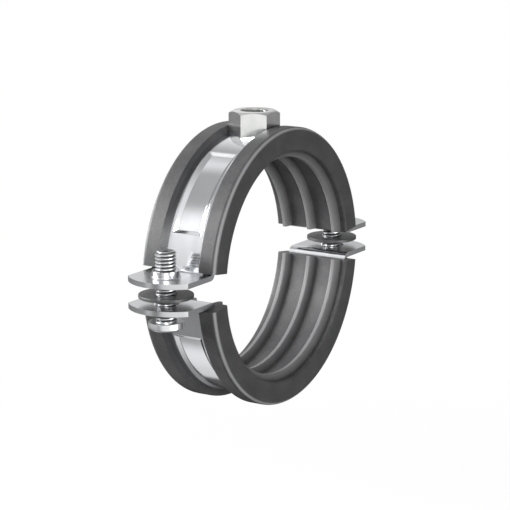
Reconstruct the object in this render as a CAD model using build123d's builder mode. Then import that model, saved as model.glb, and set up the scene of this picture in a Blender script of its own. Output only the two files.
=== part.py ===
from build123d import *
import os
from math import asin, cos, degrees, hypot, radians, sin, sqrt, tan

os.makedirs("parts", exist_ok=True)

# Two-piece pipe clamp with a rubber lining. Millimetres. The origin is on the axis of the pipe, half way
# along the band. The pipe runs along Y, the ears stand out along X and the rod nut is on top, along +Z.

# Pipe and rubber lining
pipe_radius = 32.1
rib_height = 1.9
rib_top_width = 1.1
rib_foot_width = 3.4
rib_inset = 3.65
rib_edge_radius = 0.3
lining_wall = 3.3
lining_cheek = 2.35
lining_edge_radius = 0.8
lining_end_clearance = 0.1
lip_height = 2.2
lip_nut_clearance = 0.35
lip_outer_edge_radius = 1.4
lip_inner_edge_radius = 0.4

# Steel strip of the band
strip_width = 20.0
strip_thickness = 1.5
bend_radius = 0.5
ear_gap = 6.2
screw_offset = 7.5
nose_offset = 8.7
nose_bulge = 4.7

# Panels pressed into the band
panel_depth = 0.8
panel_inset = 6.4
panel_slope_run = 1.1
panel_edge_radius = 0.4
panel_end_angle = 24.0
panel_nut_angle = 63.0

# Drawn and threaded collars in the upper ears, round holes in the lower ones
collar_wall = 0.85
collar_height = 2.0
collar_root_radius = 0.5
collar_entry_radius = 0.6
thread_clearance = 0.05
ear_hole_radius = 3.75

# Rod nut
nut_across_flats = 13.0
nut_height = 6.5
nut_bore_radius = 3.35
nut_mouth_chamfer = 0.8
nut_face_radius = 6.2
nut_chamfer_angle = 30.0

# Screws
screw_radius = 3.0
screw_length = 20.0
tip_chamfer = 0.6
tip_dimple_radius = 1.5
tip_dimple_depth = 0.45
head_slack = 3.4
head_radius = 5.0
head_edge_height = 1.5
head_height = 2.9
recess_width = 1.1
recess_reach = 2.6
recess_foot_width = 0.8
recess_foot_reach = 1.0
recess_depth = 1.9

# Retaining washers
washer_radius = 7.75
washer_thickness = 1.0
washer_edge_radius = 0.2
washer_lift = 1.95

# How far cutting forms run past what they cut, and how closely edges are picked by place and radius
cut_overrun = 1.0
pick_tolerance = 0.01

# Worked out from the sizes above
rib_root_radius = pipe_radius + rib_height
band_inner_radius = rib_root_radius + lining_wall
band_outer_radius = band_inner_radius + strip_thickness
lining_outer_radius = band_outer_radius + lip_height
lining_half_width = strip_width / 2 + lining_cheek
rib_spacing = lining_half_width - rib_inset
window_half_width = nut_across_flats / 2 + lip_nut_clearance
panel_floor_width = strip_width - 2 * panel_inset
ear_near = ear_gap / 2
ear_far = ear_near + strip_thickness
outer_bend_radius = bend_radius + strip_thickness
bend_height = ear_near + outer_bend_radius
bend_distance = band_inner_radius + outer_bend_radius
bend_angle = degrees(asin(bend_height / bend_distance))
lining_end_angle = bend_angle + degrees(lining_end_clearance / band_outer_radius)
screw_distance = band_outer_radius + screw_offset
nose_apex = screw_distance + nose_offset
collar_bore_radius = screw_radius + thread_clearance
collar_radius = collar_bore_radius + collar_wall
collar_top = ear_far + collar_height
nut_corner_radius = nut_across_flats / sqrt(3)
nut_mouth_radius = nut_bore_radius + nut_mouth_chamfer
nut_top = band_outer_radius + nut_height
nut_chamfer_drop = (nut_corner_radius - nut_face_radius) * tan(radians(nut_chamfer_angle))
head_crown = head_height - head_edge_height
bearing_height = -ear_far - head_slack
washer_bottom = -ear_near + washer_lift

# Side views of the two halves. The lower half is the upper one turned half a turn about the pipe.
upper_view = Plane.XZ
lower_view = Plane(origin=(0, 0, 0), x_dir=(-1, 0, 0), z_dir=(0, -1, 0))
upper_panels = [(panel_end_angle, panel_nut_angle), (180 - panel_nut_angle, 180 - panel_end_angle)]
lower_panels = [(panel_end_angle, 180 - panel_end_angle)]


def radial_plane(view, angle):
    """Plane through the pipe axis: x runs along the pipe, y away from it at this angle of the view."""
    outward = view.x_dir * cos(radians(angle)) + view.y_dir * sin(radians(angle))
    return Plane(origin=(0, 0, 0), x_dir=(0, 1, 0), z_dir=Vector(0, 1, 0).cross(outward))


def slope_foot(radius, angle, side, height=0.0):
    """Point of the side view on a panel's end slope, this high above its foot."""
    outward, sideways = radius + height, side * height * panel_slope_run / panel_depth
    c, s = cos(radians(angle)), sin(radians(angle))
    return (outward * c - sideways * s, outward * s + sideways * c)


def panel_form(view, span, floor_radius, top_radius, margin):
    """Solid that fills a pressed panel between two radii, with sloping sides and ends."""
    floor_half_width = panel_floor_width / 2 + margin
    spread = (top_radius - floor_radius) * panel_slope_run / panel_depth
    end_margin = degrees(margin / floor_radius)
    first, last = span[0] - end_margin, span[1] + end_margin
    slope_height = top_radius - floor_radius + cut_overrun
    with BuildPart() as form:
        with BuildSketch(radial_plane(view, 90)):
            Polygon(
                (-floor_half_width, floor_radius),
                (floor_half_width, floor_radius),
                (floor_half_width + spread, top_radius),
                (-floor_half_width - spread, top_radius),
                align=None,
            )
        revolve(axis=Axis.Y)
        with BuildSketch(view):
            with BuildLine():
                first_foot = slope_foot(floor_radius, first, -1)
                last_foot = slope_foot(floor_radius, last, 1)
                rise = Line(first_foot, slope_foot(floor_radius, first, -1, slope_height))
                fall = Line(slope_foot(floor_radius, last, 1, slope_height), last_foot)
                reach = (rise @ 1).length
                middle = radians((first + last) / 2)
                ThreePointArc(rise @ 1, (reach * cos(middle), reach * sin(middle)), fall @ 0)
                Polyline(last_foot, (0, 0), first_foot)
            make_face()
        extrude(amount=strip_width, both=True, mode=Mode.INTERSECT)
    return form.part


def draw_strip(view):
    """Side view of half the band: a half ring of strip with both ends bent out into ears."""
    with BuildSketch(view) as side:
        with BuildLine():
            bend_centre = (sqrt(bend_distance**2 - bend_height**2), bend_height)
            CenterArc((0, 0), band_inner_radius, bend_angle, 90 - bend_angle)
            CenterArc((0, 0), band_outer_radius, bend_angle, 90 - bend_angle)
            CenterArc(bend_centre, outer_bend_radius, 180 + bend_angle, 90 - bend_angle)
            CenterArc(bend_centre, bend_radius, 180 + bend_angle, 90 - bend_angle)
            Polyline(
                (bend_centre[0], ear_near),
                (nose_apex, ear_near),
                (nose_apex, ear_far),
                (bend_centre[0], ear_far),
            )
            mirror(about=Plane.YZ)
        make_face()
    return side.sketch


def draw_ear_outline():
    """Plan of the whole band: straight sides and a shallow curved nose at each end."""
    with BuildSketch(Plane.XY) as plan:
        half_width, corner = strip_width / 2, nose_apex - nose_bulge
        with BuildLine():
            ThreePointArc((corner, -half_width), (nose_apex, 0), (corner, half_width))
            ThreePointArc((-corner, -half_width), (-nose_apex, 0), (-corner, half_width))
            Line((-corner, -half_width), (corner, -half_width))
            Line((-corner, half_width), (corner, half_width))
        make_face()
    return plan.sketch


def draw_lining(view):
    """Section of the rubber: a wall with three ribs inside and a lip over each edge of the strip."""
    foot = (Align.CENTER, Align.MIN)
    with BuildSketch(radial_plane(view, 180 - lining_end_angle)) as section:
        with Locations((0, rib_root_radius)):
            Rectangle(2 * lining_half_width, lining_outer_radius - rib_root_radius, align=foot)
        with Locations((0, band_inner_radius)):
            Rectangle(strip_width, strip_thickness, align=foot, mode=Mode.SUBTRACT)
        with Locations((0, band_outer_radius)):
            Rectangle(2 * window_half_width, lip_height, align=foot, mode=Mode.SUBTRACT)
        for middle in (-rib_spacing, 0, rib_spacing):
            Polygon(
                (middle - rib_top_width / 2, pipe_radius),
                (middle + rib_top_width / 2, pipe_radius),
                (middle + rib_foot_width / 2, rib_root_radius),
                (middle - rib_foot_width / 2, rib_root_radius),
                align=None,
            )
        fillet(section.vertices().group_by(Axis.Y)[0], rib_edge_radius)
        fillet(section.vertices().group_by(Axis.X)[0].sort_by(Axis.Y)[0], lining_edge_radius)
        fillet(section.vertices().group_by(Axis.X)[-1].sort_by(Axis.Y)[0], lining_edge_radius)
        fillet(section.vertices().group_by(Axis.X)[0].sort_by(Axis.Y)[-1], lip_outer_edge_radius)
        fillet(section.vertices().group_by(Axis.X)[-1].sort_by(Axis.Y)[-1], lip_outer_edge_radius)
        inner_tips = section.vertices().filter_by_position(Axis.X, -window_half_width, window_half_width)
        fillet(inner_tips.group_by(Axis.Y)[-1], lip_inner_edge_radius)
    return section.sketch


def level_circles(piece, height, radius):
    """Circular edges of a piece at this height, of this radius."""
    level = (height - pick_tolerance, height + pick_tolerance)
    circles = piece.edges().filter_by(GeomType.CIRCLE).filter_by_position(Axis.Z, *level)
    return circles.filter_by(lambda edge: abs(edge.radius - radius) < pick_tolerance)


# Pressed panels: a recess outside the strip and the bulge that it makes inside, wider by a margin that keeps
# the sloping walls as thick as the strip
panel_margin = strip_thickness * tan(asin(panel_depth / hypot(panel_depth, panel_slope_run)) / 2)
recess_floor = band_outer_radius - panel_depth
bulge_floor = band_inner_radius - panel_depth
recess_top = band_outer_radius + cut_overrun
bulge_top = (band_inner_radius + band_outer_radius) / 2
upper_recesses = [panel_form(upper_view, span, recess_floor, recess_top, 0) for span in upper_panels]
upper_bulges = [panel_form(upper_view, span, bulge_floor, bulge_top, panel_margin) for span in upper_panels]
lower_recesses = [panel_form(lower_view, span, recess_floor, recess_top, 0) for span in lower_panels]
lower_bulges = [panel_form(lower_view, span, bulge_floor, bulge_top, panel_margin) for span in lower_panels]

# Upper half of the band, with a drawn collar on each ear
with BuildPart() as upper_band:
    extrude(draw_strip(upper_view), amount=strip_width / 2, both=True)
    extrude(draw_ear_outline(), amount=lining_outer_radius, mode=Mode.INTERSECT)
    add(upper_bulges)
    for recess in upper_recesses:
        add(recess, mode=Mode.SUBTRACT)
        fillet(upper_band.edges(Select.LAST), panel_edge_radius)
    with BuildSketch(Plane.XY.offset(ear_far)):
        with GridLocations(2 * screw_distance, 0, 2, 1):
            Circle(collar_radius)
    extrude(amount=collar_height)
    fillet(level_circles(upper_band, ear_far, collar_radius), collar_root_radius)
    with BuildSketch(Plane.XY.offset(collar_top)):
        with GridLocations(2 * screw_distance, 0, 2, 1):
            Circle(collar_bore_radius)
    extrude(amount=-collar_height - strip_thickness, mode=Mode.SUBTRACT)
    fillet(level_circles(upper_band, ear_near, collar_bore_radius), collar_entry_radius)
upper_band.part.label = "upper_band"
export_step(upper_band.part, "parts/upper_band.step")

# Lower half of the band, with a round hole in each ear
with BuildPart() as lower_band:
    extrude(draw_strip(lower_view), amount=strip_width / 2, both=True)
    extrude(draw_ear_outline(), amount=-lining_outer_radius, mode=Mode.INTERSECT)
    add(lower_bulges)
    for recess in lower_recesses:
        add(recess, mode=Mode.SUBTRACT)
        fillet(lower_band.edges(Select.LAST), panel_edge_radius)
    with BuildSketch(Plane.XY.offset(-ear_near)):
        with GridLocations(2 * screw_distance, 0, 2, 1):
            Circle(ear_hole_radius)
    extrude(amount=-strip_thickness, mode=Mode.SUBTRACT)
lower_band.part.label = "lower_band"
export_step(lower_band.part, "parts/lower_band.step")

# Rubber linings, shaped over the band and its panels
with BuildPart() as upper_lining:
    revolve(draw_lining(upper_view), axis=Axis.Y, revolution_arc=180 - 2 * lining_end_angle)
    add(upper_bulges, mode=Mode.SUBTRACT)
upper_lining.part.label = "upper_lining"
export_step(upper_lining.part, "parts/upper_lining.step")

with BuildPart() as lower_lining:
    revolve(draw_lining(lower_view), axis=Axis.Y, revolution_arc=180 - 2 * lining_end_angle)
    add(lower_bulges, mode=Mode.SUBTRACT)
lower_lining.part.label = "lower_lining"
export_step(lower_lining.part, "parts/lower_lining.step")

# Hexagon nut for the rod, welded on the band, which its foot follows, with a bore countersunk at both ends
with BuildPart() as rod_nut:
    with BuildSketch(Plane.XY):
        RegularPolygon(nut_corner_radius, 6)
    extrude(amount=nut_top)
    with BuildSketch(Plane.XZ):
        Polygon(
            (0, 0),
            (nut_corner_radius, 0),
            (nut_corner_radius, nut_top - nut_chamfer_drop),
            (nut_face_radius, nut_top),
            (0, nut_top),
            align=None,
        )
    revolve(axis=Axis.Z, mode=Mode.INTERSECT)
    with BuildSketch(Plane.XZ):
        Polygon(
            (0, 0),
            (nut_mouth_radius, 0),
            (nut_mouth_radius, band_outer_radius),
            (nut_bore_radius, band_outer_radius + nut_mouth_chamfer),
            (nut_bore_radius, nut_top - nut_mouth_chamfer),
            (nut_mouth_radius, nut_top),
            (0, nut_top),
            align=None,
        )
    revolve(axis=Axis.Z, mode=Mode.SUBTRACT)
    with BuildSketch(Plane.XZ):
        Circle(band_outer_radius)
    extrude(amount=nut_across_flats, both=True, mode=Mode.SUBTRACT)
rod_nut.part.label = "rod_nut"
export_step(rod_nut.part, "parts/rod_nut.step")

# Screws, heads below, and the washers that keep them in the lower ears
for name, side in (("left", -1), ("right", 1)):
    screw_view = Plane(origin=(side * screw_distance, 0, bearing_height), x_dir=(1, 0, 0), z_dir=(0, -1, 0))
    head_base = Plane.XY.offset(bearing_height - head_height)
    with BuildPart() as screw:
        with BuildSketch(screw_view):
            with BuildLine():
                Polyline(
                    (0, screw_length - tip_dimple_depth),
                    (tip_dimple_radius, screw_length),
                    (screw_radius - tip_chamfer, screw_length),
                    (screw_radius, screw_length - tip_chamfer),
                    (screw_radius, 0),
                    (head_radius, 0),
                    (head_radius, -head_edge_height),
                )
                EllipticalCenterArc((0, -head_edge_height), head_radius, head_crown, 270, arc_size=90)
                Line((0, -head_height), (0, screw_length - tip_dimple_depth))
            make_face()
        revolve(axis=Axis((side * screw_distance, 0, 0), (0, 0, 1)))
        with BuildSketch(head_base):
            with Locations((side * screw_distance, 0)):
                Rectangle(2 * recess_reach, recess_width)
                Rectangle(recess_width, 2 * recess_reach)
        with BuildSketch(head_base.offset(recess_depth)):
            with Locations((side * screw_distance, 0)):
                Rectangle(2 * recess_foot_reach, recess_foot_width)
                Rectangle(recess_foot_width, 2 * recess_foot_reach)
        loft(ruled=True, mode=Mode.SUBTRACT)
    screw.part.label = name + "_screw"
    export_step(screw.part, "parts/" + name + "_screw.step")

    with BuildPart() as washer:
        with BuildSketch(Plane.XY.offset(washer_bottom)):
            with Locations((side * screw_distance, 0)):
                Circle(washer_radius)
                Circle(screw_radius + thread_clearance, mode=Mode.SUBTRACT)
        extrude(amount=washer_thickness)
        rims = washer.edges().filter_by(GeomType.CIRCLE).group_by(SortBy.RADIUS)[-1]
        fillet(rims, washer_edge_radius)
    washer.part.label = name + "_washer"
    export_step(washer.part, "parts/" + name + "_washer.step")
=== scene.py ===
"""Looks of a two-piece pipe clamp: zinc-plated strip, ribbed rubber lining, a rod nut and two screws."""

from math import cos, hypot, radians, sin, tan, tau

import bmesh
import bpy
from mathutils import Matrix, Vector


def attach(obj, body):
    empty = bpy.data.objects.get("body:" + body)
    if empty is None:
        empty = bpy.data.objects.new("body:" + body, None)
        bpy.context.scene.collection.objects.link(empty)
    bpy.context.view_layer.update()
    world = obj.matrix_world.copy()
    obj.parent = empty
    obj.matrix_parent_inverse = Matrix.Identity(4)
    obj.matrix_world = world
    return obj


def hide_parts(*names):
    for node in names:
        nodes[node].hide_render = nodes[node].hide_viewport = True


MM = 0.001

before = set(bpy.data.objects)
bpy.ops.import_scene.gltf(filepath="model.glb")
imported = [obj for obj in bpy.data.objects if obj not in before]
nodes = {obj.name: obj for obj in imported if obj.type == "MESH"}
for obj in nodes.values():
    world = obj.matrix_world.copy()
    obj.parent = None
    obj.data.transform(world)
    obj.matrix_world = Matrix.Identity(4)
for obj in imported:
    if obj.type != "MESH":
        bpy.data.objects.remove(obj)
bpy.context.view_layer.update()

# Sizes that the looks share with the construction, in millimetres
pipe_radius = 32.1
rib_foot_radius = 33.9
band_radius = 38
lip_corner_radius = 39.6
lip_corner_side = 10.95
ear_root = 37
ear_start = 41
screw_distance = 46.3
screw_bearing = -8.0
screw_tip = 12.0
screw_crest = 3.0
screw_root = 2.4
screw_pitch = 1.0
tip_chamfer = 0.6
tip_dimple_radius = 1.5
tip_dimple_depth = 0.45
nut_top = 45.3
nut_mouth_radius = 4.15
nut_crest = 3.35
nut_root = 4.0
nut_pitch = 1.25
nut_thread_foot = 38.2
thread_flank_angle = 30
steps_per_turn = 40

# The room, also in millimetres, and the camera
floor_level = -260
floor_reach = 12000
lamp_distance = 900
camera_left = 58.25
camera_above = 12.42
camera_distance = 582
camera_aside = 0.21
camera_up = 2.07


# Materials

def linear(hex_colour):
    """An sRGB colour, written as six hex digits, as Blender's linear colour."""
    parts = [int(hex_colour[i : i + 2], 16) / 255 for i in (0, 2, 4)]
    return [c / 12.92 if c <= 0.04045 else ((c + 0.055) / 1.055) ** 2.4 for c in parts] + [1.0]


def per_size(size_mm):
    """Texture scale at which a pattern repeats about once in this many millimetres."""
    return 1 / (size_mm * MM)


def add_node(tree, kind, values=None, links=None, **settings):
    """Adds a node with its settings, the values of its sockets and the links into them."""
    made = tree.nodes.new(kind)
    for name, setting in settings.items():
        setattr(made, name, setting)
    for socket, value in (values or {}).items():
        made.inputs[socket].default_value = value
    for socket, source in (links or {}).items():
        tree.links.new(source, made.inputs[socket])
    return made


def start_material(name):
    """An empty node material with its tree and output."""
    material = bpy.data.materials.new(name)
    material.use_nodes = True
    material.node_tree.nodes.clear()
    output = material.node_tree.nodes.new("ShaderNodeOutputMaterial")
    return material, material.node_tree, output


def around_pipe(tree):
    """Coordinates that follow the band: arc length, distance from the pipe's axis, place along it."""
    place = add_node(tree, "ShaderNodeTexCoord").outputs["Object"]
    parts = add_node(tree, "ShaderNodeSeparateXYZ", links={0: place})
    angle = add_node(
        tree,
        "ShaderNodeMath",
        links={0: parts.outputs["Z"], 1: parts.outputs["X"]},
        operation="ARCTAN2",
    )
    arc = add_node(
        tree,
        "ShaderNodeMath",
        values={1: band_radius * MM},
        links={0: angle.outputs[0]},
        operation="MULTIPLY",
    )
    flat = add_node(tree, "ShaderNodeCombineXYZ", links={0: parts.outputs["X"], 1: parts.outputs["Z"]})
    reach = add_node(tree, "ShaderNodeVectorMath", links={0: flat.outputs[0]}, operation="LENGTH")
    return add_node(
        tree,
        "ShaderNodeCombineXYZ",
        links={0: arc.outputs[0], 1: reach.outputs["Value"], 2: parts.outputs["Y"]},
    ).outputs[0]


def plated_strip():
    """Cold-rolled steel strip, pressed and zinc plated: bright, with faint rolling lines and soft waves."""
    material, tree, output = start_material("zinc_plated_steel_strip")
    along = around_pipe(tree)
    # Rolling lines run round the band. Real ones are too fine to show: these are half a millimetre apart.
    stretched = add_node(
        tree, "ShaderNodeMapping", values={"Scale": (0.03, 1.0, 1.0)}, links={"Vector": along}
    ).outputs[0]
    lines = add_node(
        tree,
        "ShaderNodeTexNoise",
        values={"Scale": per_size(0.5), "Detail": 3.0, "Roughness": 0.6},
        links={"Vector": stretched},
    ).outputs[0]
    waves = add_node(
        tree,
        "ShaderNodeTexNoise",
        values={"Scale": per_size(9), "Detail": 1.0},
        links={"Vector": along},
    ).outputs[0]
    tint = add_node(tree, "ShaderNodeValToRGB", links={0: waves})
    tint.color_ramp.elements[0].position = 0.3
    tint.color_ramp.elements[0].color = linear("dbdcdf")
    tint.color_ramp.elements[1].position = 0.7
    tint.color_ramp.elements[1].color = linear("e3e4e7")
    polish = add_node(
        tree,
        "ShaderNodeMapRange",
        values={"From Min": 0.3, "From Max": 0.7, "To Min": 0.1, "To Max": 0.15},
        links={"Value": lines},
    ).outputs[0]
    # The ears, and the band next to them, are rougher than the rest and painted a darker grey, a painted
    # shade on their reflections
    place = add_node(tree, "ShaderNodeTexCoord").outputs["Object"]
    parts = add_node(tree, "ShaderNodeSeparateXYZ", links={0: place})
    sideways = add_node(
        tree, "ShaderNodeMath", links={0: parts.outputs["X"]}, operation="ABSOLUTE"
    ).outputs[0]
    ears_shaded_and_rough = add_node(
        tree,
        "ShaderNodeMapRange",
        values={"From Min": ear_root * MM, "From Max": ear_start * MM},
        links={"Value": sideways},
    ).outputs[0]
    gloss = add_node(
        tree, "ShaderNodeMix", values={3: 0.26}, links={0: ears_shaded_and_rough, 2: polish}, data_type="FLOAT"
    ).outputs[0]
    # Painted shade: the ears are painted a darker grey than the band
    colour = add_node(
        tree,
        "ShaderNodeMix",
        values={7: linear("c9cacc")},
        links={0: ears_shaded_and_rough, 6: tint.outputs[0]},
        data_type="RGBA",
    ).outputs[2]
    dents = add_node(
        tree,
        "ShaderNodeBump",
        values={"Strength": 0.25, "Distance": 0.05 * MM},
        links={"Height": waves},
    ).outputs[0]
    brushed = add_node(
        tree,
        "ShaderNodeBump",
        values={"Strength": 0.1, "Distance": 0.004 * MM},
        links={"Height": lines, "Normal": dents},
    ).outputs[0]
    metal = add_node(
        tree,
        "ShaderNodeBsdfPrincipled",
        values={"Metallic": 1.0},
        links={"Base Color": colour, "Roughness": gloss, "Normal": brushed},
    )
    tree.links.new(metal.outputs[0], output.inputs["Surface"])
    return material


def zinc_grain(tree, place, fine_mm, patch_mm, dark, light):
    """Grain, colour and surface of plated steel: patches of two greys, and a grain that the light catches."""
    # Real crystals of zinc are far too fine to show, so these are drawn coarse enough
    grain = add_node(
        tree,
        "ShaderNodeTexNoise",
        values={"Scale": per_size(fine_mm), "Detail": 4.0},
        links={"Vector": place},
    ).outputs[0]
    patches = add_node(
        tree,
        "ShaderNodeTexNoise",
        values={"Scale": per_size(patch_mm), "Detail": 2.0},
        links={"Vector": place},
    ).outputs[0]
    tint = add_node(tree, "ShaderNodeValToRGB", links={0: patches})
    tint.color_ramp.elements[0].position = 0.35
    tint.color_ramp.elements[0].color = linear(dark)
    tint.color_ramp.elements[1].position = 0.65
    tint.color_ramp.elements[1].color = linear(light)
    pits = add_node(
        tree,
        "ShaderNodeBump",
        values={"Strength": 0.06, "Distance": 0.01 * MM},
        links={"Height": grain},
    ).outputs[0]
    return grain, tint.outputs[0], pits


def plated_nut():
    """Cold-formed steel nut, zinc plated: satin, clean flat sides with hardly any grain."""
    material, tree, output = start_material("zinc_plated_nut")
    place = add_node(tree, "ShaderNodeTexCoord").outputs["Object"]
    grain, tint, pits = zinc_grain(tree, place, 0.35, 4, "d8d9d8", "e1e2e0")
    gloss = add_node(
        tree,
        "ShaderNodeMapRange",
        values={"From Min": 0.3, "From Max": 0.7, "To Min": 0.15, "To Max": 0.22},
        links={"Value": grain},
    ).outputs[0]
    metal = add_node(
        tree,
        "ShaderNodeBsdfPrincipled",
        values={"Metallic": 1.0},
        links={"Base Color": tint, "Roughness": gloss, "Normal": pits},
    )
    tree.links.new(metal.outputs[0], output.inputs["Surface"])
    return material


def plated_screw():
    """Cold-headed steel screw, zinc plated: bright crests, and the rougher bottom of its thread painted dark
    as painted shade.
    """
    material, tree, output = start_material("zinc_plated_screw")
    place = add_node(tree, "ShaderNodeTexCoord").outputs["Object"]
    _, tint, pits = zinc_grain(tree, place, 0.3, 3, "d6d7d9", "e0e1e2")
    parts = add_node(tree, "ShaderNodeSeparateXYZ", links={0: place})
    sideways = add_node(
        tree, "ShaderNodeMath", links={0: parts.outputs["X"]}, operation="ABSOLUTE"
    ).outputs[0]
    from_axis = add_node(
        tree,
        "ShaderNodeMath",
        values={1: screw_distance * MM},
        links={0: sideways},
        operation="SUBTRACT",
    ).outputs[0]
    flat = add_node(tree, "ShaderNodeCombineXYZ", links={0: from_axis, 1: parts.outputs["Y"]})
    reach = add_node(tree, "ShaderNodeVectorMath", links={0: flat.outputs[0]}, operation="LENGTH")
    # Crests, tip and head keep the plated colour; the thread's grooves between them are painted dark as
    # painted shade, and are rougher
    outer = add_node(
        tree,
        "ShaderNodeMapRange",
        values={"From Min": (screw_root + 0.05) * MM, "From Max": (screw_crest - 0.12) * MM},
        links={"Value": reach.outputs["Value"]},
    ).outputs[0]
    above = add_node(
        tree,
        "ShaderNodeMapRange",
        values={"From Min": (screw_tip - 0.2) * MM, "From Max": (screw_tip - 0.1) * MM},
        links={"Value": parts.outputs["Z"]},
    ).outputs[0]
    below = add_node(
        tree,
        "ShaderNodeMapRange",
        values={"From Min": screw_bearing * MM, "From Max": (screw_bearing - 0.1) * MM},
        links={"Value": parts.outputs["Z"]},
    ).outputs[0]
    ends = add_node(
        tree, "ShaderNodeMath", links={0: above, 1: below}, operation="MAXIMUM"
    ).outputs[0]
    crests_and_ends = add_node(tree, "ShaderNodeMath", links={0: outer, 1: ends}, operation="MAXIMUM").outputs[0]
    # Painted shade: dark grey in the grooves of the thread
    colour = add_node(
        tree,
        "ShaderNodeMix",
        values={6: linear("4a4a4a")},
        links={0: crests_and_ends, 7: tint},
        data_type="RGBA",
    ).outputs[2]
    gloss = add_node(
        tree,
        "ShaderNodeMapRange",
        values={"To Min": 0.5, "To Max": 0.34},
        links={"Value": crests_and_ends},
    ).outputs[0]
    metal = add_node(
        tree,
        "ShaderNodeBsdfPrincipled",
        values={"Metallic": 1.0},
        links={"Base Color": colour, "Roughness": gloss, "Normal": pits},
    )
    tree.links.new(metal.outputs[0], output.inputs["Surface"])
    return material


def extruded_rubber():
    """Black EPDM rubber, extruded as a profile: half matt, with die lines along its length and a grain."""
    material, tree, output = start_material("extruded_epdm_rubber")
    along = around_pipe(tree)
    # Lines that the die leaves are finer than these, which are drawn coarse enough to show
    stretched = add_node(
        tree, "ShaderNodeMapping", values={"Scale": (0.04, 1.0, 1.0)}, links={"Vector": along}
    ).outputs[0]
    die_lines = add_node(
        tree,
        "ShaderNodeTexNoise",
        values={"Scale": per_size(0.45), "Detail": 2.0},
        links={"Vector": stretched},
    ).outputs[0]
    grain = add_node(
        tree,
        "ShaderNodeTexNoise",
        values={"Scale": per_size(0.3), "Detail": 3.0},
        links={"Vector": along},
    ).outputs[0]
    bloom = add_node(
        tree,
        "ShaderNodeTexNoise",
        values={"Scale": per_size(6), "Detail": 3.0},
        links={"Vector": along},
    ).outputs[0]
    # Pale filler shows as specks. They are drawn at the size of the grain, coarser than real ones.
    specks = add_node(
        tree, "ShaderNodeMix", values={0: 0.6}, links={2: bloom, 3: grain}, data_type="FLOAT"
    ).outputs[0]
    tint = add_node(tree, "ShaderNodeValToRGB", links={0: specks})
    tint.color_ramp.elements[0].position = 0.35
    tint.color_ramp.elements[0].color = linear("353536")
    tint.color_ramp.elements[1].position = 0.65
    tint.color_ramp.elements[1].color = linear("49494a")
    # The outer corners are painted paler, as a painted highlight, and are smoother than the rest
    parts = add_node(tree, "ShaderNodeSeparateXYZ", links={0: along})
    sideways = add_node(
        tree, "ShaderNodeMath", links={0: parts.outputs["Z"]}, operation="ABSOLUTE"
    ).outputs[0]
    over_side = add_node(
        tree,
        "ShaderNodeMath",
        values={1: lip_corner_side * MM},
        links={0: sideways},
        operation="SUBTRACT",
    ).outputs[0]
    over_lip = add_node(
        tree,
        "ShaderNodeMath",
        values={1: lip_corner_radius * MM},
        links={0: parts.outputs["Y"]},
        operation="SUBTRACT",
    ).outputs[0]
    past = add_node(
        tree, "ShaderNodeMath", links={0: over_side, 1: over_lip}, operation="MINIMUM"
    ).outputs[0]
    # Painted highlight along the rounded outer corners of the lips
    corner_highlight = add_node(
        tree,
        "ShaderNodeMapRange",
        values={"From Min": 0.4 * MM, "From Max": 0.95 * MM},
        links={"Value": past},
        interpolation_type="SMOOTHSTEP",
    ).outputs[0]
    # The ribs are painted paler from foot to top, as a painted highlight
    rib_highlight = add_node(
        tree,
        "ShaderNodeMapRange",
        values={
            "From Min": rib_foot_radius * MM,
            "From Max": (pipe_radius + 0.2) * MM,
            "To Max": 0.4,
        },
        links={"Value": parts.outputs["Y"]},
    ).outputs[0]
    painted_highlights = add_node(tree, "ShaderNodeMath", links={0: corner_highlight, 1: rib_highlight}, operation="MAXIMUM").outputs[0]
    # Painted highlights: the corners and the rib tops are mixed toward a pale grey
    colour = add_node(
        tree,
        "ShaderNodeMix",
        values={7: linear("8a8a8b")},
        links={0: painted_highlights, 6: tint.outputs[0]},
        data_type="RGBA",
    ).outputs[2]
    rough_skin = add_node(
        tree,
        "ShaderNodeMapRange",
        values={"From Min": 0.3, "From Max": 0.7, "To Min": 0.4, "To Max": 0.5},
        links={"Value": grain},
    ).outputs[0]
    gloss = add_node(
        tree, "ShaderNodeMix", values={3: 0.34}, links={0: painted_highlights, 2: rough_skin}, data_type="FLOAT"
    ).outputs[0]
    lines = add_node(
        tree,
        "ShaderNodeBump",
        values={"Strength": 0.35, "Distance": 0.015 * MM},
        links={"Height": die_lines},
    ).outputs[0]
    rough = add_node(
        tree,
        "ShaderNodeBump",
        values={"Strength": 0.35, "Distance": 0.02 * MM},
        links={"Height": grain, "Normal": lines},
    ).outputs[0]
    rubber = add_node(
        tree,
        "ShaderNodeBsdfPrincipled",
        values={"IOR": 1.5, "Specular IOR Level": 0.2},
        links={"Base Color": colour, "Roughness": gloss, "Normal": rough},
    )
    tree.links.new(rubber.outputs[0], output.inputs["Surface"])
    return material


def moulded_plastic():
    """Black polyethylene, moulded: a soft sheen and a fine grain."""
    material, tree, output = start_material("black_polyethylene")
    place = add_node(tree, "ShaderNodeTexCoord").outputs["Object"]
    # The real grain is far finer: this one is drawn coarse enough to show
    grain = add_node(
        tree,
        "ShaderNodeTexNoise",
        values={"Scale": per_size(0.5), "Detail": 3.0},
        links={"Vector": place},
    ).outputs[0]
    tint = add_node(tree, "ShaderNodeValToRGB", links={0: grain})
    tint.color_ramp.elements[0].position = 0.3
    tint.color_ramp.elements[0].color = linear("333334")
    tint.color_ramp.elements[1].position = 0.7
    tint.color_ramp.elements[1].color = linear("424243")
    bumps = add_node(
        tree,
        "ShaderNodeBump",
        values={"Strength": 0.3, "Distance": 0.02 * MM},
        links={"Height": grain},
    ).outputs[0]
    plastic = add_node(
        tree,
        "ShaderNodeBsdfPrincipled",
        values={"IOR": 1.5, "Roughness": 0.42},
        links={"Base Color": tint.outputs[0], "Normal": bumps},
    )
    tree.links.new(plastic.outputs[0], output.inputs["Surface"])
    return material


strip_steel = plated_strip()
nut_steel = plated_nut()
screw_steel = plated_screw()
rubber = extruded_rubber()
plastic = moulded_plastic()


# Pieces

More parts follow.
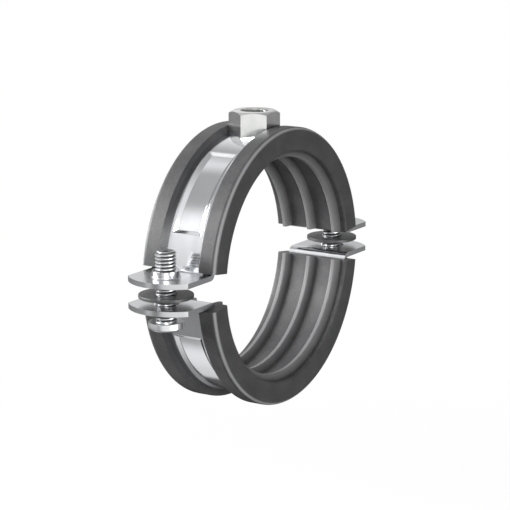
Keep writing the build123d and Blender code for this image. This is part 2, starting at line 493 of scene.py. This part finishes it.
def merged_copy(node):
    """The mesh of a construction node as a bmesh, with its loose triangles joined."""
    shape = bmesh.new()
    shape.from_mesh(nodes[node].data)
    bmesh.ops.remove_doubles(shape, verts=shape.verts, dist=0.002 * MM)
    bmesh.ops.dissolve_degenerate(shape, edges=shape.edges, dist=0.001 * MM)
    return shape


def finish_piece(name, shape, material, body, facets=()):
    """Makes a bmesh, smooth but for its flat facets, a piece that rides on a body and stands for a node."""
    for face in shape.faces:
        face.smooth = face not in facets
    mesh = bpy.data.meshes.new(name)
    shape.to_mesh(mesh)
    shape.free()
    mesh.attributes.remove(mesh.attributes["custom_normal"])
    mesh.set_sharp_from_angle(angle=radians(35))
    mesh.materials.append(material)
    piece = bpy.data.objects.new("threaded_" + name, mesh)
    bpy.context.scene.collection.objects.link(piece)
    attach(piece, body)
    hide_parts(name)


def cut_thread(low, high, crest, root, pitch):
    """The surface of a right-hand thread about the upright axis, wound up a profile of one pitch."""
    flank = abs(crest - root) * tan(radians(thread_flank_angle))
    crest_flat = pitch / 5
    root_flat = pitch - 2 * flank - crest_flat
    corners = [
        (root, 0.0),
        (root, root_flat),
        (crest, root_flat + flank),
        (crest, root_flat + flank + crest_flat),
        (root, pitch),
    ]
    thread = bmesh.new()
    points = [thread.verts.new((r * MM, 0, (low - pitch + z) * MM)) for r, z in corners]
    edges = [thread.edges.new(pair) for pair in zip(points, points[1:])]
    bmesh.ops.subdivide_edges(thread, edges=[edges[1], edges[3]], cuts=2)
    steps = int(((high - low) / pitch + 2) * steps_per_turn)
    bmesh.ops.spin(
        thread,
        geom=thread.verts[:] + thread.edges[:],
        cent=(0, 0, 0),
        axis=(0, 0, 1),
        dvec=(0, 0, pitch / steps_per_turn * MM),
        angle=steps * tau / steps_per_turn,
        steps=steps,
        use_merge=False,
        use_duplicate=False,
    )
    bmesh.ops.remove_doubles(thread, verts=thread.verts, dist=0.001 * MM)
    return thread


def limit_radius(shape, start, radius, slope):
    """Draws in (slope below 0) or pushes out (above 0) whatever passes a cone that starts at a level."""
    for vert in shape.verts:
        past = vert.co.z / MM - start
        reach = hypot(vert.co.x, vert.co.y) / MM
        limit = radius + slope * past
        if past > 0 and (reach - limit) * slope < 0:
            vert.co.x *= limit / reach
            vert.co.y *= limit / reach


def cut_level(shape, level, outward):
    """Cuts a thread off square at a level."""
    bmesh.ops.bisect_plane(
        shape,
        geom=shape.verts[:] + shape.edges[:] + shape.faces[:],
        dist=0.0001 * MM,
        plane_co=(0, 0, level * MM),
        plane_no=(0, 0, outward),
        clear_outer=True,
    )


def open_rim(shape, level):
    """The open edges of a shape at a level."""
    return [
        edge
        for edge in shape.edges
        if edge.is_boundary and all(abs(vert.co.z / MM - level) < 0.01 for vert in edge.verts)
    ]


def draw_in(shape, rim, ratio):
    """Adds a flat ring inside an open rim, down to this share of its radius."""
    made = bmesh.ops.extrude_edge_only(shape, edges=rim)["geom"]
    verts = [part for part in made if isinstance(part, bmesh.types.BMVert)]
    bmesh.ops.scale(shape, verts=verts, vec=(ratio, ratio, 1))
    return [part for part in made if isinstance(part, bmesh.types.BMEdge) and part.is_boundary]


def join_shapes(first, second):
    """Adds the second bmesh to the first."""
    mesh = bpy.data.meshes.new("joined")
    second.to_mesh(mesh)
    second.free()
    first.from_mesh(mesh)
    bpy.data.meshes.remove(mesh)


def make_screw(side, axis_x):
    """The screw's own head and cross recess, with a thread over the whole shank and a dimple in its tip."""
    name = side + "_screw"
    shape = merged_copy(name)
    bmesh.ops.translate(shape, verts=shape.verts, vec=(-axis_x * MM, 0, 0))
    shank = [f for f in shape.faces if f.calc_center_median().z / MM > screw_bearing + 0.01]
    bmesh.ops.delete(shape, geom=shank, context="FACES")
    draw_in(shape, open_rim(shape, screw_bearing), (screw_root - 0.1) / screw_crest)

    thread = cut_thread(screw_bearing, screw_tip, screw_crest, screw_root, screw_pitch)
    limit_radius(thread, screw_tip - tip_chamfer, screw_crest, -1)
    cut_level(thread, screw_tip, 1)
    cut_level(thread, screw_bearing - 0.1, -1)
    dimple_rim = draw_in(thread, open_rim(thread, screw_tip), tip_dimple_radius / screw_root)
    dimple = bmesh.ops.contextual_create(thread, geom=dimple_rim)["faces"]
    centre = bmesh.ops.poke(thread, faces=dimple)["verts"]
    bmesh.ops.translate(thread, verts=centre, vec=(0, 0, -tip_dimple_depth * MM))
    bmesh.ops.recalc_face_normals(thread, faces=thread.faces)

    join_shapes(shape, thread)
    bmesh.ops.translate(shape, verts=shape.verts, vec=(axis_x * MM, 0, 0))
    finish_piece(name, shape, screw_steel, name)


def is_facet(face):
    """Whether a face of the nut is on one of its six sides or on its top."""
    outside = hypot(*face.calc_center_median()[:2]) / MM > nut_mouth_radius
    return (outside and abs(face.normal.z) < 0.01) or face.normal.z > 0.99


def make_nut():
    """The rod nut's own outside, with a thread cut in its bore."""
    shape = merged_copy("rod_nut")
    bore = [
        face
        for face in shape.faces
        if all(hypot(vert.co.x, vert.co.y) / MM < nut_mouth_radius + 0.01 for vert in face.verts)
    ]
    bmesh.ops.delete(shape, geom=bore, context="FACES")
    thread = cut_thread(nut_thread_foot, nut_top, nut_crest, nut_root, nut_pitch)
    limit_radius(thread, nut_top - (nut_mouth_radius - nut_crest), nut_crest, 1)
    cut_level(thread, nut_top, 1)
    cut_level(thread, nut_thread_foot, -1)
    bmesh.ops.recalc_face_normals(thread, faces=thread.faces)
    bmesh.ops.reverse_faces(thread, faces=thread.faces)
    join_shapes(shape, thread)
    shape.normal_update()
    facets = {face for face in shape.faces if is_facet(face)}
    finish_piece("rod_nut", shape, nut_steel, "upper_half", facets)


for side, axis_x in (("left", -screw_distance), ("right", screw_distance)):
    make_screw(side, axis_x)
make_nut()

for name, material in (
    ("upper_band", strip_steel),
    ("lower_band", strip_steel),
    ("upper_lining", rubber),
    ("lower_lining", rubber),
    ("left_washer", plastic),
    ("right_washer", plastic),
):
    nodes[name].data.materials.clear()
    nodes[name].data.materials.append(material)


# Studio

# What shiny metal mirrors from side to side: a white room, where 1 is white, with a few grey cards
above_the_clamp = [
    (-1.0, 0.8),
    (-0.6, 1.0),
    (-0.4, 0.5),
    (0.0, 0.5),
    (0.2, 1.0),
    (0.4, 0.5),
    (0.7, 1.0),
    (1.0, 0.5),
]
below_the_clamp = [(-1.0, 0.3), (-0.4, 0.3), (-0.1, 1.0), (0.4, 0.8), (0.5, 0.1), (1.0, 0.1)]
before_the_clamp = [(-1.0, 1.0), (-0.4, 1.0), (0.1, 0.5), (1.0, 0.3)]


def soft_box(name, direction, size, power):
    """A square lamp that faces the clamp from a direction. Its size is in metres and its power in watts."""
    lamp = bpy.data.lights.new(name, "AREA")
    lamp.shape = "SQUARE"
    lamp.size = size
    lamp.energy = power
    box = bpy.data.objects.new(name, lamp)
    aim = Vector(direction).normalized()
    box.location = aim * lamp_distance * MM
    box.rotation_mode = "QUATERNION"
    box.rotation_quaternion = aim.to_track_quat("Z", "Y")
    bpy.context.scene.collection.objects.link(box)


def band_of_light(tree, place, stops):
    """Brightness of the studio along one side of it, as pairs of place and brightness."""
    ramp = add_node(tree, "ShaderNodeValToRGB", links={0: place})
    ramp.color_ramp.interpolation = "EASE"
    elements = ramp.color_ramp.elements
    while len(elements) < len(stops):
        elements.new(0.5)
    for element, (position, brightness) in zip(elements, stops):
        element.position = (position + 1) / 2
        element.color = (brightness, brightness, brightness, 1)
    return ramp.outputs[0]


def make_room():
    """Studio air: white to the camera, white with grey cards to shiny metal, soft light on the rest."""
    world = bpy.data.worlds.new("studio_air")
    bpy.context.scene.world = world
    world.use_nodes = True
    tree = world.node_tree
    tree.nodes.clear()
    direction = add_node(tree, "ShaderNodeTexCoord").outputs["Generated"]
    parts = add_node(tree, "ShaderNodeSeparateXYZ", links={0: direction})
    across = add_node(
        tree,
        "ShaderNodeMapRange",
        values={"From Min": -1.0, "From Max": 1.0},
        links={"Value": parts.outputs["X"]},
    ).outputs[0]
    above = band_of_light(tree, across, above_the_clamp)
    below = band_of_light(tree, across, below_the_clamp)
    before = band_of_light(tree, across, before_the_clamp)
    height = add_node(
        tree,
        "ShaderNodeMapRange",
        values={"From Min": -0.36, "From Max": -0.2},
        links={"Value": parts.outputs["Z"]},
        interpolation_type="SMOOTHSTEP",
    ).outputs[0]
    depth = add_node(
        tree,
        "ShaderNodeMapRange",
        values={"From Min": 0.2, "From Max": -0.1},
        links={"Value": parts.outputs["Y"]},
        interpolation_type="SMOOTHSTEP",
    ).outputs[0]
    behind = add_node(
        tree, "ShaderNodeMix", links={0: height, 6: below, 7: above}, data_type="RGBA"
    ).outputs[2]
    nearer = add_node(
        tree,
        "ShaderNodeMapRange",
        values={"From Min": 0.32, "From Max": 0.44},
        links={"Value": parts.outputs["Y"]},
        interpolation_type="SMOOTHSTEP",
    ).outputs[0]
    further = add_node(
        tree,
        "ShaderNodeMapRange",
        values={"From Min": 0.72, "From Max": 0.58},
        links={"Value": parts.outputs["Y"]},
        interpolation_type="SMOOTHSTEP",
    ).outputs[0]
    on_wall = add_node(
        tree, "ShaderNodeMath", links={0: nearer, 1: further}, operation="MULTIPLY"
    ).outputs[0]
    grey = add_node(
        tree,
        "ShaderNodeMapRange",
        values={"From Min": -0.6, "From Max": 0.6, "To Min": 0.06, "To Max": 0.5},
        links={"Value": parts.outputs["Z"]},
    ).outputs[0]
    beside = add_node(
        tree, "ShaderNodeMix", links={0: on_wall, 6: grey, 7: behind}, data_type="RGBA"
    ).outputs[2]
    lower = add_node(
        tree,
        "ShaderNodeMapRange",
        values={"From Min": -0.95, "From Max": -0.6, "To Min": 0.7},
        links={"Value": parts.outputs["Z"]},
    ).outputs[0]
    facing = add_node(
        tree,
        "ShaderNodeMix",
        values={0: 1.0},
        links={6: before, 7: lower},
        data_type="RGBA",
        blend_type="MULTIPLY",
    ).outputs[2]
    around = add_node(
        tree, "ShaderNodeMix", links={0: depth, 6: beside, 7: facing}, data_type="RGBA"
    ).outputs[2]
    soft = add_node(
        tree,
        "ShaderNodeMapRange",
        values={"From Min": -1.0, "From Max": 1.0, "To Min": 0.0, "To Max": 0.25},
        links={"Value": parts.outputs["Z"]},
    ).outputs[0]
    path = add_node(tree, "ShaderNodeLightPath")
    mirrored = add_node(tree, "ShaderNodeBackground", links={"Color": around})
    shading = add_node(
        tree, "ShaderNodeBackground", values={"Color": linear("ffffff")}, links={"Strength": soft}
    )
    white = add_node(
        tree, "ShaderNodeBackground", values={"Color": linear("ffffff"), "Strength": 1.0}
    )
    lit = add_node(
        tree,
        "ShaderNodeMixShader",
        links={0: path.outputs["Is Glossy Ray"], 1: shading.outputs[0], 2: mirrored.outputs[0]},
    )
    seen = add_node(
        tree,
        "ShaderNodeMath",
        links={0: path.outputs["Is Camera Ray"], 1: path.outputs["Is Transmission Ray"]},
        operation="MAXIMUM",
    )
    mix = add_node(
        tree, "ShaderNodeMixShader", links={0: seen.outputs[0], 1: lit.outputs[0], 2: white.outputs[0]}
    )
    output = add_node(tree, "ShaderNodeOutputWorld")
    tree.links.new(mix.outputs[0], output.inputs["Surface"])


def make_floor():
    """A plain pale floor well below the clamp. Metal mirrors the studio air in its place."""
    shape = bmesh.new()
    bmesh.ops.create_grid(shape, x_segments=2, y_segments=2, size=floor_reach * MM)
    bmesh.ops.translate(shape, verts=shape.verts, vec=(0, 0, floor_level * MM))
    mesh = bpy.data.meshes.new("floor")
    shape.to_mesh(mesh)
    shape.free()
    floor = bpy.data.objects.new("floor", mesh)
    floor.visible_glossy = False
    bpy.context.scene.collection.objects.link(floor)
    material, tree, output = start_material("pale_floor")
    path = add_node(tree, "ShaderNodeLightPath")
    seen = add_node(
        tree,
        "ShaderNodeMath",
        links={0: path.outputs["Is Camera Ray"], 1: path.outputs["Is Transmission Ray"]},
        operation="MAXIMUM",
    ).outputs[0]
    shade = add_node(
        tree,
        "ShaderNodeMix",
        values={6: linear("6e6e6e"), 7: linear("f4f4f4")},
        links={0: seen},
        data_type="RGBA",
    ).outputs[2]
    paint = add_node(tree, "ShaderNodeBsdfDiffuse", links={"Color": shade})
    glow = add_node(tree, "ShaderNodeEmission", values={"Color": linear("ffffff"), "Strength": 1.0})
    # Below the clamp a quarter of what is seen is the paint itself, which keeps the clamp's shadow
    place = add_node(tree, "ShaderNodeTexCoord").outputs["Object"]
    flat = add_node(
        tree, "ShaderNodeVectorMath", values={1: (1, 1, 0)}, links={0: place}, operation="MULTIPLY"
    )
    reach = add_node(tree, "ShaderNodeVectorMath", links={0: flat.outputs[0]}, operation="LENGTH")
    far = add_node(
        tree,
        "ShaderNodeMapRange",
        values={"From Min": 0.35, "From Max": 0.8, "To Min": 0.75},
        links={"Value": reach.outputs["Value"]},
        interpolation_type="SMOOTHSTEP",
    ).outputs[0]
    share = add_node(tree, "ShaderNodeMath", links={0: seen, 1: far}, operation="MULTIPLY").outputs[0]
    mix = add_node(
        tree, "ShaderNodeMixShader", links={0: share, 1: paint.outputs[0], 2: glow.outputs[0]}
    )
    tree.links.new(mix.outputs[0], output.inputs["Surface"])
    mesh.materials.append(material)


def make_camera():
    """A long lens from the left of the front, a little above the clamp."""
    lens = bpy.data.cameras.new("camera")
    lens.sensor_width = 36
    lens.lens = 138.8
    lens.clip_start = 0.01
    lens.clip_end = 50
    camera = bpy.data.objects.new("camera", lens)
    azimuth, elevation = radians(-camera_left), radians(camera_above)
    back = Vector((sin(azimuth) * cos(elevation), -cos(azimuth) * cos(elevation), sin(elevation)))
    right = Vector((cos(azimuth), sin(azimuth), 0))
    up = back.cross(right)
    camera.location = (back * camera_distance + right * camera_aside + up * camera_up) * MM
    camera.rotation_mode = "QUATERNION"
    camera.rotation_quaternion = back.to_track_quat("Z", "Y")
    bpy.context.scene.collection.objects.link(camera)
    bpy.context.scene.camera = camera


make_room()
make_floor()
make_camera()
soft_box("key_light", (-0.46, 0.84, 0.36), 0.4, 26)
soft_box("front_light", (-0.1, -1.0, -0.22), 0.4, 5)
soft_box("side_light", (-0.8, -0.55, 0.36), 0.3, 6)

bpy.context.scene.view_settings.view_transform = "Standard"
